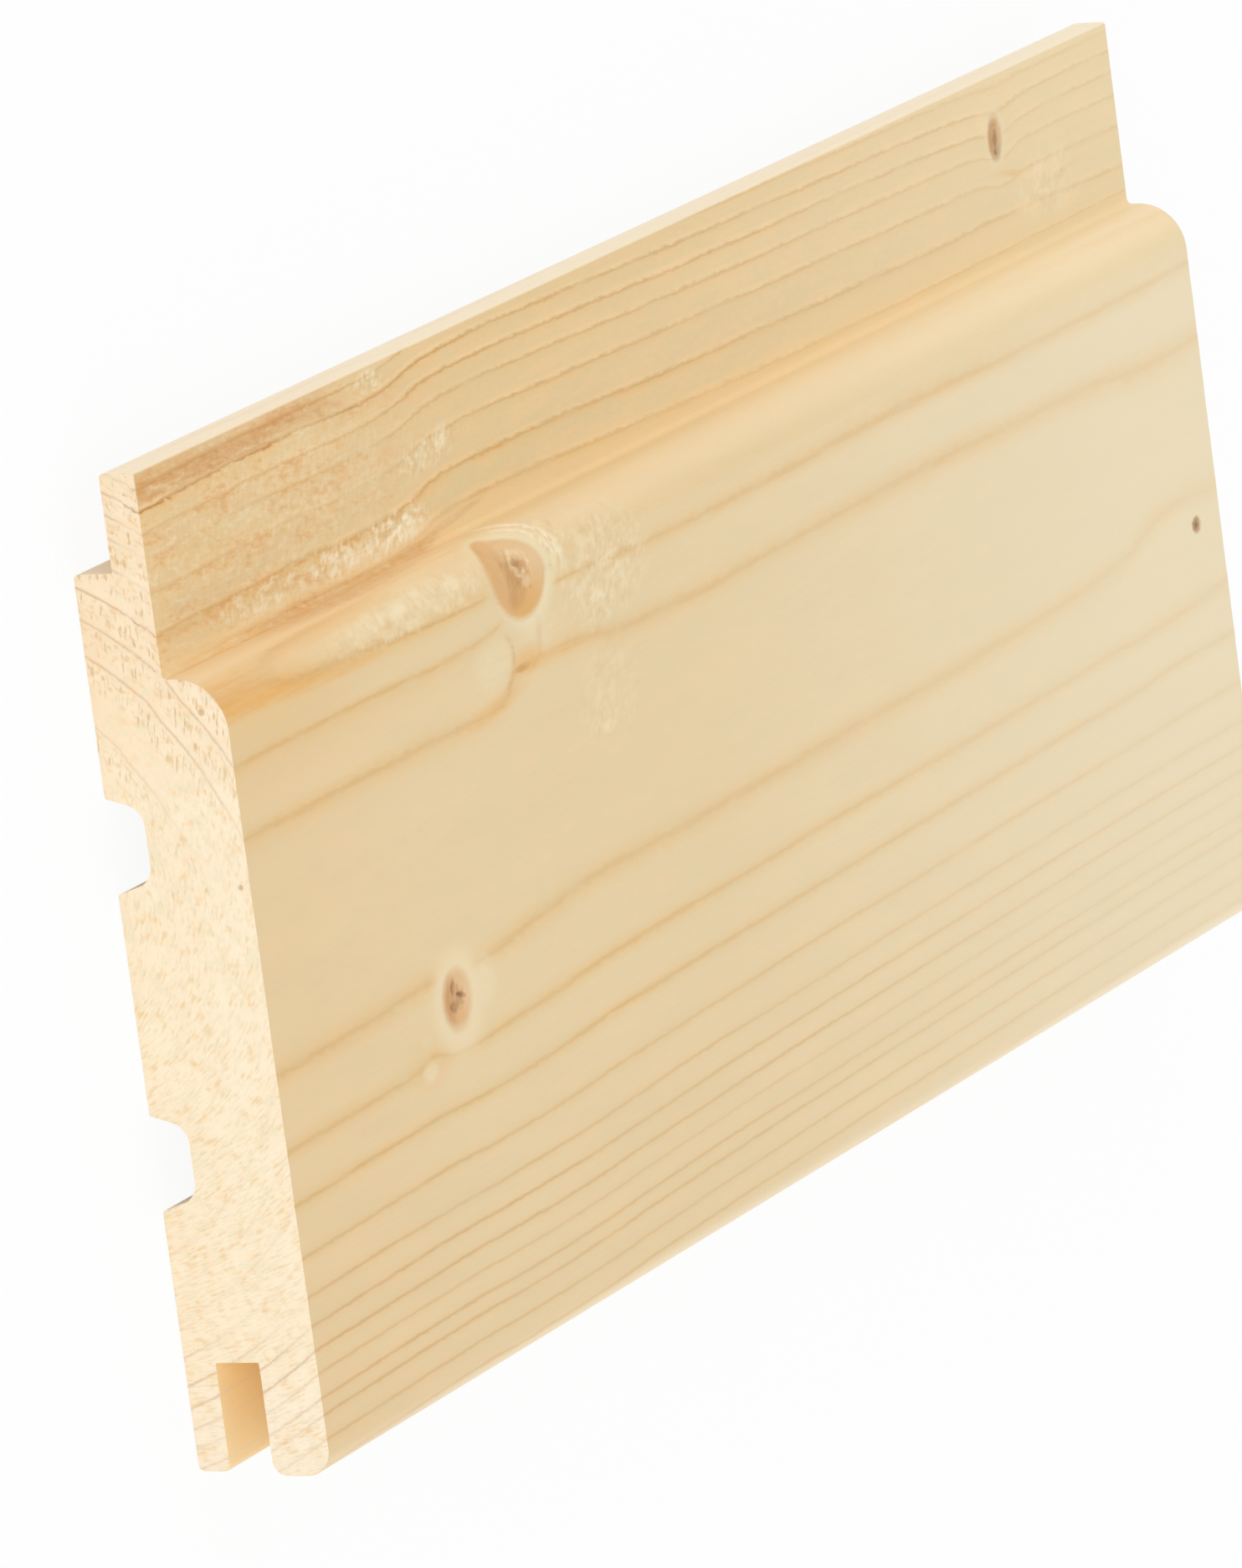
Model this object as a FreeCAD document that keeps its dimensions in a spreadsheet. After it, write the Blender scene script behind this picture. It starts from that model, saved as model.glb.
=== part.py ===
"""A softwood tongue and groove board whose joint leaves a shadow gap, cut to a short length.

The board lies on its back. X runs along the grain, and Y runs across the board, from the
grooved edge to the tip of the tongue. +Z is the face that shows on the wall.
The origin is at the middle of the back. All sizes are in millimetres.

A moulding machine planes the whole section out of one sawn blank, one cutter after another,
and the features below follow that order.
"""

import FreeCAD, Part
import Sketcher
import math
import os

NODE = "board"

# Each row is the name of a size, its value, and what it measures.
SIZES = [
    ("board_length", 220.0, "along the grain, saw cut to saw cut"),
    ("board_width", 96.0, "grooved edge to the tip of the tongue"),
    ("board_thickness", 14.0, "back to face"),
    ("front_rebate_width", 19.6, "tip of the tongue to the front shoulder"),
    ("front_rebate_depth", 6.2, "face of the board down to the face of the tongue"),
    ("tongue_length", 9.4, "tip of the tongue to the back shoulder"),
    ("tongue_thickness", 3.7, "face of the tongue to its back"),
    ("tongue_chamfer", 0.3, "both edges of the tip"),
    ("shoulder_radius", 5.0, "soft edge of the face beside the tongue"),
    ("root_radius", 0.5, "hollow between the tongue and the front shoulder"),
    ("back_shoulder_radius", 0.4, "edge of the back beside the tongue"),
    ("face_clearance", 0.1, "tongue to the front lip of the next board, faces flush"),
    ("back_clearance", 0.8, "tongue to the back lip of the next board, faces flush"),
    ("tip_clearance", 1.1, "tip of the tongue to the bottom of the groove, joint closed"),
    ("back_lip_setback", 0.5, "how much shorter the back lip is than the front lip"),
    ("front_lip_radius", 2.5, "soft edge of the face beside the groove"),
    ("front_mouth_radius", 1.5, "lead-in on the inner edge of the front lip"),
    ("back_lip_radius", 0.6, "edge of the back beside the groove"),
    ("back_mouth_radius", 0.4, "lead-in on the inner edge of the back lip"),
    ("relief_width", 9.2, "relief groove in the back, at its mouth"),
    ("relief_depth", 3.8, "relief groove in the back"),
    ("relief_flare", 1.2, "how far each of its walls leans out between bottom and mouth"),
    ("relief_radius", 2.0, "hollow corners at its bottom"),
    ("relief_first", 30.3, "grooved edge to the middle of the first relief groove"),
    ("relief_pitch", 30.4, "middle to middle of the relief grooves"),
    ("relief_last", 12.0, "least distance from the last middle to the back shoulder"),
]

# Places across the board, as expressions of the sizes.
GROOVED_EDGE = "(-Sizes.board_width / 2)"
TONGUE_TIP = "(Sizes.board_width / 2)"
FRONT_SHOULDER = f"({TONGUE_TIP} - Sizes.front_rebate_width)"
BACK_SHOULDER = f"({TONGUE_TIP} - Sizes.tongue_length)"
BACK_LIP_END = f"({GROOVED_EDGE} + Sizes.back_lip_setback)"
GROOVE_BOTTOM = f"({BACK_LIP_END} + Sizes.tongue_length + Sizes.tip_clearance)"
RELIEF_MIDDLE = f"({GROOVED_EDGE} + Sizes.relief_first)"
HALF_MOUTH = "(Sizes.relief_width / 2)"
HALF_BOTTOM = f"({HALF_MOUTH} - Sizes.relief_flare)"

# Heights above the back. The face is the side that the moulding machine works from, so the
# tongue and the groove are both placed from it, and their faces come flush.
BACK = "0"
FACE = "Sizes.board_thickness"
TONGUE_FACE = f"({FACE} - Sizes.front_rebate_depth)"
TONGUE_BACK = f"({TONGUE_FACE} - Sizes.tongue_thickness)"
GROOVE_FRONT = f"({TONGUE_FACE} + Sizes.face_clearance)"
GROOVE_BACK = f"({TONGUE_BACK} - Sizes.back_clearance)"

# As many relief grooves as the back has room for.
RELIEF_SPAN = "(Sizes.board_width - Sizes.tongue_length - Sizes.relief_first - Sizes.relief_last)"
RELIEF_COUNT = f"floor({RELIEF_SPAN} / Sizes.relief_pitch) + 1"

# How close an edge has to be to a place to be the edge that is meant.
SAME_PLACE = 0.001


def make_sizes(document):
    """The sheet of driving sizes, one named cell each."""
    sheet = document.addObject("Spreadsheet::Sheet", "Sizes")
    for row, (name, value, meaning) in enumerate(SIZES, start=1):
        sheet.set(f"A{row}", meaning)
        sheet.set(f"B{row}", str(value))
        sheet.setAlias(f"B{row}", name)
    document.recompute()
    return sheet


def origin_feature(body, role):
    """One of the body's own origin planes or axes."""
    return next(item for item in body.Origin.OriginFeatures if item.Role == role)


def draw_section(body, name, corners):
    """A closed outline of straight lines on the cross-section halfway along the board.

    Each corner is a place across the board and a height, both expressions of the sizes.
    """
    sketch = body.newObject("Sketcher::SketchObject", name)
    sketch.AttachmentSupport = [(origin_feature(body, "YZ_Plane"), "")]
    sketch.MapMode = "FlatFace"
    # The corners start evenly on a circle, and the sizes then pull each to its place.
    count = len(corners)
    turns = [2 * math.pi * index / count for index in range(count)]
    starts = [FreeCAD.Vector(math.cos(turn), math.sin(turn), 0) for turn in turns]
    for index, start in enumerate(starts):
        end = starts[(index + 1) % count]
        sketch.addGeometry(Part.LineSegment(start, end), False)
    for index in range(count):
        following = (index + 1) % count
        sketch.addConstraint(Sketcher.Constraint("Coincident", index, 2, following, 1))
    for index, (across, height) in enumerate(corners):
        start = starts[index]
        for kind, value, size in (("DistanceX", start.x, across), ("DistanceY", start.y, height)):
            number = sketch.addConstraint(Sketcher.Constraint(kind, -1, 1, index, 1, value))
            sketch.setExpression(f"Constraints[{number}]", size)
    return sketch


def draw_rectangle(body, name, left, right, low, high):
    """A rectangle on the cross-section. Its corners 0 to 3 go round from left and low."""
    return draw_section(body, name, [(left, low), (right, low), (right, high), (left, high)])


def plane_away(body, sketch, name):
    """One cutter's pass: it takes the sketch out of the board from end to end."""
    pocket = body.newObject("PartDesign::Pocket", name)
    pocket.Profile = sketch
    pocket.Type = "ThroughAll"
    pocket.SideType = "Symmetric"
    return pocket


def corner(sketch, index, step=0.0):
    """Where a corner of an outline lies, as a place across and a height."""
    point = sketch.Geometry[index].StartPoint
    return (point.x + step, point.y)


def edges_along(shape, places):
    """Names of the shape's edges that run along the board through the given places."""
    names = []
    for number, edge in enumerate(shape.Edges, start=1):
        first, last = edge.Vertexes[0].Point, edge.Vertexes[-1].Point
        if abs(first.x - last.x) < SAME_PLACE:
            continue
        if any(math.dist((first.y, first.z), place) < SAME_PLACE for place in places):
            names.append(f"Edge{number}")
    return names


def dress_edges(body, kind, name, places, size):
    """Rounds or bevels the edges that run along the board through the given places."""
    base = body.Tip
    feature = body.newObject(f"PartDesign::{kind}", name)
    names = edges_along(base.Shape, places)
    if len(names) != len(places):
        raise RuntimeError(f"{name}: {len(places)} edges wanted, {len(names)} found")
    feature.Base = (base, names)
    feature.setExpression({"Fillet": "Radius", "Chamfer": "Size"}[kind], size)
    body.Document.recompute()


def within_wall(radius, wall):
    """A rounding's own size, or less where its wall has grown too thin for it."""
    return f"min(Sizes.{radius}; {wall})"


def make_board(document):
    """The board, from the sawn blank through each cutter's pass to its eased edges."""
    body = document.addObject("PartDesign::Body", NODE)

    blank_outline = draw_rectangle(body, "blank_outline", GROOVED_EDGE, TONGUE_TIP, BACK, FACE)
    blank = body.newObject("PartDesign::Pad", "blank")
    blank.Profile = blank_outline
    blank.SideType = "Symmetric"
    blank.setExpression("Length", "Sizes.board_length")

    # The front rebate is wider than the joint needs, and its extra width is the shadow gap.
    front_rebate = draw_rectangle(
        body, "front_rebate_outline", FRONT_SHOULDER, TONGUE_TIP, TONGUE_FACE, FACE
    )
    plane_away(body, front_rebate, "front_rebate")
    back_rebate = draw_rectangle(
        body, "back_rebate_outline", BACK_SHOULDER, TONGUE_TIP, BACK, TONGUE_BACK
    )
    plane_away(body, back_rebate, "back_rebate")

    groove = draw_rectangle(
        body, "groove_outline", GROOVED_EDGE, GROOVE_BOTTOM, GROOVE_BACK, GROOVE_FRONT
    )
    plane_away(body, groove, "groove")
    back_lip = draw_rectangle(
        body, "back_lip_outline", GROOVED_EDGE, BACK_LIP_END, BACK, GROOVE_BACK
    )
    plane_away(body, back_lip, "back_lip")

    # Grooves in the back let the board give a little, so that it doesn't cup.
    relief = draw_section(
        body,
        "relief_outline",
        [
            (f"{RELIEF_MIDDLE} - {HALF_MOUTH}", BACK),
            (f"{RELIEF_MIDDLE} + {HALF_MOUTH}", BACK),
            (f"{RELIEF_MIDDLE} + {HALF_BOTTOM}", "Sizes.relief_depth"),
            (f"{RELIEF_MIDDLE} - {HALF_BOTTOM}", "Sizes.relief_depth"),
        ],
    )
    relief_pass = plane_away(body, relief, "relief")
    document.recompute()
    reliefs = body.newObject("PartDesign::LinearPattern", "reliefs")
    reliefs.Originals = [relief_pass]
    reliefs.Direction = (origin_feature(body, "Y_Axis"), [""])
    reliefs.Mode = "Spacing"
    reliefs.setExpression("Offset", "Sizes.relief_pitch")
    reliefs.setExpression("Occurrences", RELIEF_COUNT)
    body.Tip = reliefs
    document.recompute()

    steps = [index * reliefs.Offset.Value for index in range(reliefs.Occurrences)]
    relief_hollows = [corner(relief, index, step) for step in steps for index in (2, 3)]
    dress_edges(body, "Fillet", "relief_hollows", relief_hollows, "Sizes.relief_radius")

    shoulder_wall = "Sizes.front_rebate_depth - Sizes.root_radius - Sizes.face_clearance"
    dress_edges(
        body,
        "Fillet",
        "shoulder_rounding",
        [corner(front_rebate, 3)],
        within_wall("shoulder_radius", shoulder_wall),
    )
    dress_edges(body, "Fillet", "root", [corner(front_rebate, 0)], "Sizes.root_radius")
    dress_edges(
        body,
        "Fillet",
        "back_shoulder_rounding",
        [corner(back_rebate, 0)],
        within_wall("back_shoulder_radius", f"{TONGUE_BACK} / 2"),
    )
    tip_edges = [corner(front_rebate, 1), corner(back_rebate, 2)]
    dress_edges(body, "Chamfer", "tongue_tip", tip_edges, "Sizes.tongue_chamfer")

    front_lip = f"({FACE} - {GROOVE_FRONT})"
    dress_edges(
        body,
        "Fillet",
        "front_lip_rounding",
        [corner(blank_outline, 3)],
        within_wall("front_lip_radius", f"{front_lip} - Sizes.front_mouth_radius"),
    )
    dress_edges(
        body, "Fillet", "front_mouth", [corner(groove, 3)], "Sizes.front_mouth_radius"
    )
    dress_edges(
        body,
        "Fillet",
        "back_lip_rounding",
        [corner(back_lip, 1)],
        within_wall("back_lip_radius", f"{GROOVE_BACK} / 2"),
    )
    dress_edges(
        body,
        "Fillet",
        "back_mouth",
        [corner(back_lip, 2)],
        within_wall("back_mouth_radius", f"{GROOVE_BACK} / 3"),
    )
    return body


def check_document(document):
    """Stops if any feature failed, because a failed one leaves the shape before it."""
    for item in document.Objects:
        if "Invalid" in item.State or "Error" in item.State:
            raise RuntimeError(f"{item.Label} failed: {item.State}")


def export_node(body):
    """Writes the body's solid to the file that carries its name."""
    shape = body.Shape
    if shape.isNull() or not shape.isValid() or len(shape.Solids) != 1:
        raise RuntimeError(f"{body.Label} isn't one sound solid")
    shape.exportStep(f"parts/{body.Label}.step")
    box = shape.BoundBox
    print(f"{body.Label}: {box.XLength:.2f} x {box.YLength:.2f} x {box.ZLength:.2f} mm")
    print(f"volume {shape.Volume / 1000:.2f} cm3, section {shape.Volume / box.XLength:.1f} mm2")


document = FreeCAD.newDocument("tongue_and_groove_board")
make_sizes(document)
board = make_board(document)
document.recompute()
check_document(document)
os.makedirs("parts", exist_ok=True)
export_node(board)
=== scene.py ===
# %% [markdown]
# # A tongue and groove board
#
# The object is a short length of planed spruce panelling: one piece of wood with a tongue along
# one edge, a groove along the other, two relief grooves in its back and a sawn end at each side.
# The CAD model gives its exact section. Blender gives it what a solid can't have: growth rings,
# knots, torn grain and rough sawn ends. All of that follows the wood's own build, so the rings on
# the end and the lines on the face are the same rings.

# %% Load the CAD model
import math

import bmesh
import bpy
from mathutils import Matrix, Quaternion, Vector, noise


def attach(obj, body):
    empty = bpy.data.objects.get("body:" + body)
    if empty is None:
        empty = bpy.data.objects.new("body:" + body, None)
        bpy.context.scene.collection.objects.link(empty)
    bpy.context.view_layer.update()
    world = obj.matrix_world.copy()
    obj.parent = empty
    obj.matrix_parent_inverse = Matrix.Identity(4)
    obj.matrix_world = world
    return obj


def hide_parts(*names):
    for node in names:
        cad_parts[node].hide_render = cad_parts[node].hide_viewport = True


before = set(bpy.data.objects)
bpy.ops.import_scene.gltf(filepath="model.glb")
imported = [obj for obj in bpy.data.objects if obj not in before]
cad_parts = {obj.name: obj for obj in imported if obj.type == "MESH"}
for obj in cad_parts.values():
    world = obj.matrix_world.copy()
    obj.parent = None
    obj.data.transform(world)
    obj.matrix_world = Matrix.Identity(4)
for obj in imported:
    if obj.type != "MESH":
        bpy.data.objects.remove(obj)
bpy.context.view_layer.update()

MM = 0.001
HALF_LENGTH = 110.0

# %% [markdown]
# ## Camera
#
# The camera stands far off with a long lens, because the photo shows almost no perspective. It
# looks down the board from the sawn end, 27 degrees above the face, and it is rolled by about a
# right angle, so that the board stands on its groove edge in the picture. A track quaternion
# gives the aim, and a second one gives the roll, which is easier to read than three angles.

# %% Camera
AIM = Vector((0.0055, -0.0090, -0.0066))
LINE_OF_SIGHT = Vector((0.8687629, -0.1976229, -0.4540884)).normalized()
PICTURE_RIGHT = Vector((0.4359403, -0.1298587, 0.8905575))
DISTANCE = 1.4404

eye = bpy.data.cameras.new("camera")
eye.lens = 329.8
eye.sensor_fit = "VERTICAL"
eye.sensor_height = 36.0
eye.clip_end = 20.0
camera = bpy.data.objects.new("camera", eye)
aimed = LINE_OF_SIGHT.to_track_quat("-Z", "Y")
roll = math.atan2(PICTURE_RIGHT.dot(aimed @ Vector((0, 1, 0))),
                  PICTURE_RIGHT.dot(aimed @ Vector((1, 0, 0))))
camera.rotation_mode = "QUATERNION"
camera.rotation_quaternion = aimed @ Quaternion((0, 0, 1), roll)
camera.location = AIM - LINE_OF_SIGHT * DISTANCE
bpy.context.scene.collection.objects.link(camera)
bpy.context.scene.camera = camera
print("camera roll in degrees:", round(math.degrees(roll), 1))

# %% [markdown]
# ## The section
#
# A moulder cuts the whole section in one pass, so the board is one section drawn along the
# grain. Here it starts as its corners, listed in millimetres: across the board, height
# above the back, and the radius of that corner. Each corner is then rounded by a vertex bevel.
# A bevel of the finished solid would do as well, but on the flat section each corner can have
# its own radius in one line.

# %% Corners of the section
SECTION = (
    (-48.0, 14.0, 2.5),     # front lip beside the groove
    (28.4, 14.0, 5.0),      # front shoulder, the soft edge of the shadow gap
    (28.4, 7.8, 0.5),       # root of the tongue
    (48.0, 7.8, 0.3),       # tip of the tongue
    (48.0, 4.1, 0.3),
    (38.6, 4.1, 0.15),      # back shoulder
    (38.6, 0.0, 0.4),
    (17.3, 0.0, 0.15),      # relief groove near the tongue
    (16.1, 3.8, 2.0),
    (9.3, 3.8, 2.0),
    (8.1, 0.0, 0.15),
    (-13.1, 0.0, 0.15),     # relief groove near the groove edge
    (-14.3, 3.8, 2.0),
    (-21.1, 3.8, 2.0),
    (-22.3, 0.0, 0.15),
    (-47.5, 0.0, 0.6),      # back lip
    (-47.5, 3.3, 0.4),
    (-37.0, 3.3, 0.15),     # bottom of the groove
    (-37.0, 7.9, 0.15),
    (-48.0, 7.9, 1.5),      # mouth of the groove under the front lip
)

wood_mesh = bmesh.new()
corners = []
for across, height, radius in SECTION:
    corners.append(wood_mesh.verts.new((-HALF_LENGTH * MM, across * MM, height * MM)))
wood_mesh.faces.new(corners)
print("section corners:", len(corners))


# %% Round each corner
def round_corner(corner, radius):
    """Bevel one corner of a flat outline to an arc of this radius in millimetres."""
    one, other = [(edge.other_vert(corner).co - corner.co) for edge in corner.link_edges]
    back_off = radius * MM / math.tan(one.angle(other) / 2)
    bmesh.ops.bevel(wood_mesh, geom=[corner], offset=back_off, offset_type="OFFSET",
                    segments=max(2, round(radius * 5)), profile=0.5, affect="VERTICES",
                    clamp_overlap=True, material=-1)


for corner, (across, height, radius) in zip(corners, SECTION):
    round_corner(corner, radius)
print("section points after rounding:", len(wood_mesh.verts))

# %% [markdown]
# ## From section to board
#
# The flat section is cut into a grid of small squares by planes in both directions, and then
# extruded along the grain. So both sawn ends and all the long faces come out as an even grid,
# which can carry dents and torn grain later on. Cutting the finished board would give the same
# grid, but each cut would then go through the whole mesh.

# %% Cut the section into a grid
GRID_STEP = 0.6
LENGTH_STEP = 2.0


def cut_section(direction, low, high):
    """Cut the flat section by planes across this direction, a grid step apart."""
    for count in range(1, round((high - low) / GRID_STEP)):
        everything = wood_mesh.verts[:] + wood_mesh.edges[:] + wood_mesh.faces[:]
        bmesh.ops.bisect_plane(wood_mesh, geom=everything, dist=1e-5, plane_no=direction,
                               plane_co=direction * (low + count * GRID_STEP) * MM)


cut_section(Vector((0, 0, 1)), 0.0, 14.0)
cut_section(Vector((0, 1, 0)), -48.0, 48.0)
print("squares in the section:", len(wood_mesh.faces))

# %% Extrude it along the grain
grown = bmesh.ops.extrude_face_region(wood_mesh, geom=wood_mesh.faces[:], use_keep_orig=True)
far_end = [part for part in grown["geom"] if isinstance(part, bmesh.types.BMVert)]
bmesh.ops.translate(wood_mesh, verts=far_end, vec=(2 * HALF_LENGTH * MM, 0, 0))
bmesh.ops.recalc_face_normals(wood_mesh, faces=wood_mesh.faces[:])

along_grain = [edge for edge in wood_mesh.edges if edge.calc_length() > HALF_LENGTH * MM]
bmesh.ops.subdivide_edges(wood_mesh, edges=along_grain, use_grid_fill=True,
                          cuts=round(2 * HALF_LENGTH / LENGTH_STEP) - 1)
print("faces after the grid:", len(wood_mesh.faces))

# %% [markdown]
# ## The knots
#
# A knot is a branch, so it starts at the pith of the tree and runs outwards. The same few facts
# serve the mesh and the finish: where each knot meets the face of the board, and its half size
# along the grain and across it. The pith lies about 16 mm below the board, near its middle.

# %% Where the pith and the knots are
PITH_ACROSS = (5.5, 0.0148)     # at the middle of the board, and its drift per mm of length
PITH_HEIGHT = (-16.0, 0.0022)

KNOTS = {
    "shoulder knot": dict(place=(-49.1, 24.4, 13.8), along=5.7, wide=4.12, lean=0.12),
    "round knot": dict(place=(-72.8, -11.5, 14.0), along=3.0, wide=2.6, lean=0.0),
    "tongue knot": dict(place=(80.1, 41.4, 7.8), along=1.7, wide=1.3, lean=-0.1),
    "pin knot": dict(place=(104.0, -5.2, 14.0), along=1.1, wide=0.8, lean=0.0),
}


def pith_at(x):
    """Place of the pith across the board and in height, in millimetres."""
    return PITH_ACROSS[0] + PITH_ACROSS[1] * x, PITH_HEIGHT[0] + PITH_HEIGHT[1] * x


for name, knot in KNOTS.items():
    x, y, z = knot["place"]
    pith_y, pith_z = pith_at(x)
    reach = math.hypot(y - pith_y, z - pith_z)
    knot["way"] = ((y - pith_y) / reach, (z - pith_z) / reach)
    knot["reach"] = reach
    print(name, "is", round(reach, 1), "mm from the pith")


# %% Finer faces round the knots and the torn grain
def refine(low, high, cuts):
    """Divide the outer faces whose middle lies in this box, in millimetres."""
    edges = set()
    for face in wood_mesh.faces:
        middle = face.calc_center_median() / MM
        if all(a <= m <= b for a, m, b in zip(low, middle, high)):
            edges.update(face.edges)
    bmesh.ops.subdivide_edges(wood_mesh, edges=list(edges), cuts=cuts, use_grid_fill=True)


TORN_PATCHES = (
    ((-66.0, 28.8, 7.7), (-42.0, 39.6, 8.1)),
    ((-96.0, 28.8, 7.7), (-66.0, 34.6, 8.1)),
    ((-41.0, 16.5, 11.5), (-24.0, 27.5, 14.1)),
    ((-68.0, 44.0, 7.7), (-58.0, 47.6, 8.1)),
)
for low, high in TORN_PATCHES:
    refine(low, high, 3)
refine((-56.5, 18.5, 9.5), (-41.5, 28.6, 14.1), 3)
refine((-77.5, -16.0, 13.9), (-67.5, -6.8, 14.1), 3)
refine((77.0, 38.0, 7.7), (83.0, 45.0, 8.1), 3)
refine((102.0, -7.2, 13.9), (106.2, -3.2, 14.1), 3)
print("faces after refining:", len(wood_mesh.faces))

# %% [markdown]
# ## Dents, cracks and torn grain
#
# Wood only ever loses material, so each mark moves the surface inwards and never out of the
# block. The depth of every mark is a small function of place. A saw leaves the ends rough: the
# fibres break off unevenly, and the arris is a little ragged. Knots check as they dry, and the
# planer tears the grain that dives under it beside a knot.


# %% Depth of the marks, in millimetres
def bowl(distance):
    """1 in the middle, falling smoothly to 0 at distance 1."""
    return (1 - distance * distance) ** 2 if abs(distance) < 1 else 0.0


def slit(x, y, start, end, wide):
    """Depth share of a narrow crack between two points of the face."""
    run = Vector(end) - Vector(start)
    spot = Vector((x, y)) - Vector(start)
    share = min(1.0, max(0.0, spot.dot(run) / run.length_squared))
    gap = (spot - run * share).length
    return bowl(gap / wide) * (0.35 + 0.65 * math.sin(math.pi * min(1.0, max(0.0, share))))


CRACKS = (
    # start, end, half width, depth
    ((-51.6, 26.9), (-50.4, 25.0), 0.60, 0.30),
    ((-49.9, 25.7), (-47.9, 25.0), 0.45, 0.40),
    ((-49.8, 23.6), (-48.2, 23.3), 0.40, 0.25),
    ((-73.7, -9.9), (-73.3, -11.0), 0.40, 0.40),
    ((-72.8, -11.0), (-71.3, -11.7), 0.32, 0.45),
    ((-74.3, -11.9), (-73.0, -12.8), 0.50, 0.45),
    ((79.6, 42.9), (81.0, 42.7), 0.30, 0.30),
    ((79.9, 39.8), (80.1, 40.3), 0.30, 0.35),
)


def knot_depth(x, y, z):
    """Checks in the knots, and their faces a little below the planed face."""
    depth = 0.0
    for start, end, wide, deep in CRACKS:
        depth = max(depth, deep * slit(x, y, start, end, wide))
    for knot in KNOTS.values():
        kx, ky, kz = knot["place"]
        side = (y - ky) * knot["way"][1] - (z - kz) * knot["way"][0]
        along = x - kx + knot["lean"] * side
        size = math.hypot(along / knot["along"], side / knot["wide"])
        if abs(z - kz) < 5:
            depth = max(depth, 0.10 * bowl(size / 1.05))
            depth = max(depth, 0.09 * bowl((size - 1.0) / 0.16))
    return depth


def torn_depth(x, y, z):
    """Shallow scallops with ragged edges, where the planer tore the grain."""
    share = 0.0
    for (x0, y0, z0), (x1, y1, z1) in TORN_PATCHES:
        off_x = abs(x - (x0 + x1) / 2) / ((x1 - x0) / 2)
        off_y = abs(y - (y0 + y1) / 2) / ((y1 - y0) / 2)
        if z > z0:
            share = max(share, bowl(off_x) * bowl(off_y))
    tear = noise.noise(Vector(((x - 0.3 * y) / 0.9, y / 1.3, 3.0)))
    return 0.14 * share ** 0.5 * max(0.0, tear)


def sawn_depth(x, y, z):
    """Broken fibres on the sawn ends."""
    coarse = noise.noise(Vector((y / 1.9, z / 1.9, x)))
    fine = noise.noise(Vector((y / 0.55, z / 0.55, x + 7.0)))
    return max(0.0, 0.045 + 0.03 * coarse + 0.05 * fine)


# %% Press the marks into the mesh
wood_mesh.normal_update()
moves = []
for vert in wood_mesh.verts:
    x, y, z = vert.co / MM
    on_end = abs(x) > HALF_LENGTH - 0.01
    if on_end:
        inward = Vector((-math.copysign(1.0, x), 0, 0))
        depth = sawn_depth(x, y, z)
    else:
        inward = -vert.normal
        depth = knot_depth(x, y, z) + torn_depth(x, y, z) if z > 7 else 0.0
    if depth > 1e-4:
        moves.append((vert, inward * depth * MM))
for vert, move in moves:
    vert.co += move
print("points moved inwards:", len(moves))

# %% Turn it into the board's piece
board_data = bpy.data.meshes.new("spruce_board")
wood_mesh.to_mesh(board_data)
wood_mesh.free()
board_data.shade_smooth()
board_data.set_sharp_from_angle(angle=math.radians(32))
board = bpy.data.objects.new("spruce_board", board_data)
bpy.context.scene.collection.objects.link(board)
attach(board, "root")
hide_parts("board")
board_data.calc_loop_triangles()
print("triangles in the board:", len(board_data.loop_triangles))

# %% [markdown]
# ## Wood as a solid
#
# The finish is worked out through the whole solid from Object coordinates, never laid on the
# surface, because that is how wood is: a planed face is only a slice through the tree. Nodes are
# wired by a small helper class, so that a field in the wood reads like ordinary arithmetic.

# %% Fields: node arithmetic that reads like arithmetic
spruce = bpy.data.materials.new("planed_spruce")
spruce.use_nodes = True
tree = spruce.node_tree
tree.nodes.clear()


def new_node(kind, **settings):
    made = tree.nodes.new("ShaderNode" + kind)
    for setting, value in settings.items():
        setattr(made, setting, value)
    return made


def feed(socket, value):
    """Plug a field into a socket, or write a plain number or colour there."""
    if isinstance(value, Field):
        tree.links.new(value.socket, socket)
    else:
        socket.default_value = value


class Field:
    """A number or colour that changes from point to point in the wood."""

    def __init__(self, socket):
        self.socket = socket

    def __add__(self, other):
        return maths("ADD", self, other)

    def __radd__(self, other):
        return maths("ADD", other, self)

    def __sub__(self, other):
        return maths("SUBTRACT", self, other)

    def __rsub__(self, other):
        return maths("SUBTRACT", other, self)

    def __mul__(self, other):
        return maths("MULTIPLY", self, other)

    def __rmul__(self, other):
        return maths("MULTIPLY", other, self)

    def __truediv__(self, other):
        return maths("DIVIDE", self, other)


def squared(field):
    return field * field


def maths(operation, *values):
    made = new_node("Math", operation=operation)
    for socket, value in zip(made.inputs, values):
        feed(socket, value)
    return Field(made.outputs[0])


def smooth(field, low, high):
    """0 below low, 1 above high, and an easy curve between them."""
    made = new_node("MapRange", interpolation_type="SMOOTHSTEP")
    feed(made.inputs["Value"], field)
    made.inputs["From Min"].default_value = low
    made.inputs["From Max"].default_value = high
    return Field(made.outputs["Result"])


def lerp(share, one, other):
    made = new_node("Mix", data_type="FLOAT")
    for index, value in ((0, share), (2, one), (3, other)):
        feed(made.inputs[index], value)
    return Field(made.outputs[0])


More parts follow.
